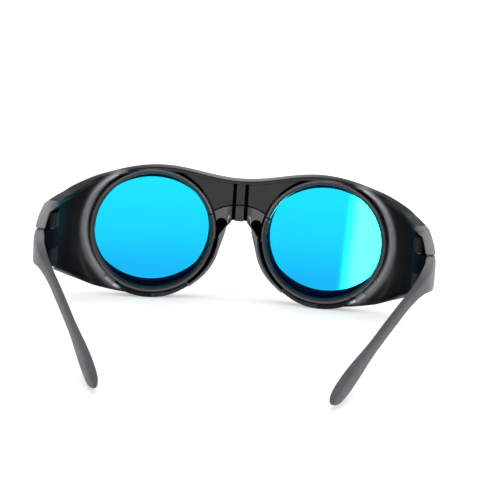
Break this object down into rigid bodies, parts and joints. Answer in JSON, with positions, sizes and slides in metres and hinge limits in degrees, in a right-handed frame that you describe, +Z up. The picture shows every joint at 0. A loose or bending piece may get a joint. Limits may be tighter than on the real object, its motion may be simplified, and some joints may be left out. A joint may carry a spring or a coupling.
{
  "type": "laser safety glasses",
  "caption": "Wraparound laser safety glasses: black shell with side wings, round blue filter lenses, a clip-in rear lens retainer with nose flanges, and slim folding temples with broad ends.",
  "frame": {"origin": "middle of the overall width and length of the opened glasses, on the table plane they stand on", "axes": "+X to the wearer's right, +Y forwards out of the front of the glasses, +Z up; the temples point to -Y"},
  "size_m": [0.1576, 0.1594, 0.0547],
  "materials": {
    "shell": "satin black moulded plastic",
    "retainer": "satin black moulded plastic",
    "lens": "blue filter glass",
    "temple": "fine-textured matte black plastic",
    "screw": "plain steel"
  },
  "bodies": {
    "front": {"front_frame": "shell", "lens_retainer": "retainer", "left_lens": "lens", "right_lens": "lens", "hinge_screws": "screw"},
    "left_arm": {"left_temple": "temple"},
    "right_arm": {"right_temple": "temple"}
  },
  "joints": [
    {"name": "left_temple_fold", "type": "hinge", "parent": "front", "child": "left_arm", "pos_m": [-0.0722, 0.03773, 0.0274], "axis": [0, 0, 1], "range_deg": [0, 72]},
    {"name": "right_temple_fold", "type": "hinge", "parent": "front", "child": "right_arm", "pos_m": [0.0722, 0.03773, 0.0274], "axis": [0, 0, -1], "range_deg": [0, 64]}
  ]
}
